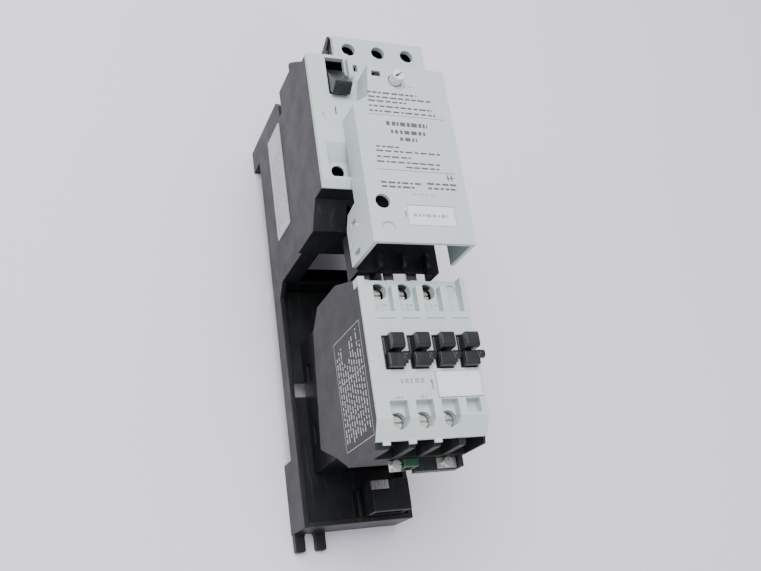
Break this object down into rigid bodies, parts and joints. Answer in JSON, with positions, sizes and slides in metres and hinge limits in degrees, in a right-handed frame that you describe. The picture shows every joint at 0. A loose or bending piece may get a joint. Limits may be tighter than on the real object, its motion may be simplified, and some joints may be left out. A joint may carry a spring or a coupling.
{
  "type": "magnetic motor starter",
  "caption": "Motor starter on a long base: a toggle-operated breaker with a label cover, linked to a contactor with front actuators, for a mounting rail.",
  "frame": {"origin": "middle of the overall box in width and length, on the plane of the panel behind the base", "axes": "+X across the starter to the right seen from the front with the line end up, +Y along it towards the breaker's line terminals, +Z out of its front"},
  "size_m": [0.0556, 0.203, 0.1246],
  "materials": {
    "base_black": "fine grained black moulding",
    "housing_dark": "dark grey moulding",
    "front_white": "white moulding, slight sheen",
    "marker_white": "smooth white plate",
    "label_silver": "printed plate",
    "black_gloss": "smooth black moulding",
    "carrier_brown": "hard brown moulding",
    "terminal_green": "green moulding",
    "plated_steel": "zinc plated",
    "spring_steel": "drawn wire",
    "core_steel": "laminated steel",
    "copper": "bare copper",
    "winding": "enamelled copper wire",
    "rubber_pad": "soft black rubber"
  },
  "bodies": {
    "starter_body": {"mounting_base": "base_black", "base_label": "label_silver", "rail_latch_spring": "spring_steel", "plug_block": "base_black", "plug_contact": "plated_steel", "contactor_housing": "housing_dark", "contactor_rear": "base_black", "contactor_front": "front_white", "contactor_marker": "marker_white", "coil_bobbin": "carrier_brown", "coil_winding": "winding", "fixed_core": "core_steel", "shading_rings": "copper", "core_pad": "rubber_pad", "return_springs": "spring_steel", "contactor_line_contacts": "copper", "contactor_load_contacts": "copper", "contactor_line_screws": "plated_steel", "contactor_load_screws": "plated_steel", "contactor_line_clamps": "plated_steel", "contactor_load_clamps": "plated_steel", "coil_terminal_carrier": "terminal_green", "coil_terminal_plate": "plated_steel", "coil_terminal_screws": "plated_steel", "link_bars": "plated_steel", "link_insulator": "housing_dark", "breaker_housing": "base_black", "breaker_front": "front_white", "label_cover": "front_white", "cover_marker": "marker_white", "breaker_line_screws": "plated_steel", "breaker_load_screws": "plated_steel", "breaker_line_clamps": "plated_steel", "breaker_load_clamps": "plated_steel", "breaker_line_contacts": "copper", "breaker_load_contacts": "copper", "arc_plates": "core_steel", "magnet_coils": "copper", "bimetal_strips": "spring_steel", "contact_bar_springs": "spring_steel", "lever_pin": "plated_steel"},
    "carrier": {"moving_core": "core_steel", "contact_carrier": "carrier_brown", "contact_actuators": "black_gloss", "bridge_contacts": "copper", "bridge_springs": "spring_steel"},
    "toggle": {"toggle_lever": "black_gloss"},
    "switch_bar": {"contact_bar": "carrier_brown", "moving_contacts": "copper"},
    "dial": {"setting_dial": "marker_white"},
    "trip": {"trip_bar": "carrier_brown", "test_slide": "black_gloss"},
    "latch": {"rail_latch": "black_gloss"}
  },
  "joints": [
    {"name": "carrier_slide", "type": "slide", "parent": "starter_body", "child": "carrier", "axis": [0, 0, -1], "range_m": [0, 0.004], "stiffness_N_per_m": 800, "springref_m": -0.004, "deforming": ["return_springs"]},
    {"name": "toggle_swing", "type": "hinge", "parent": "starter_body", "child": "toggle", "pos_m": [-0.01578, 0.074, 0.098], "axis": [-1, 0, 0], "range_deg": [0, 44]},
    {"name": "switch_bar_slide", "type": "slide", "parent": "starter_body", "child": "switch_bar", "axis": [0, 0, -1], "range_m": [0, 0.0035], "deforming": ["contact_bar_springs"]},
    {"name": "dial_turn", "type": "hinge", "parent": "starter_body", "child": "dial", "pos_m": [0.00373, 0.066, 0.12], "axis": [0, 0, 1], "range_deg": [-150, 150]},
    {"name": "test_trip", "type": "slide", "parent": "starter_body", "child": "trip", "axis": [-1, 0, 0], "range_m": [0, 0.0009], "stiffness_N_per_m": 200},
    {"name": "latch_slide", "type": "slide", "parent": "starter_body", "child": "latch", "axis": [0, -1, 0], "range_m": [0, 0.003], "stiffness_N_per_m": 600, "deforming": ["rail_latch_spring"]}
  ],
  "couplings": [
    {"joint": "switch_bar_slide", "follows": "toggle_swing", "m_per_rad": 0.00455}
  ]
}
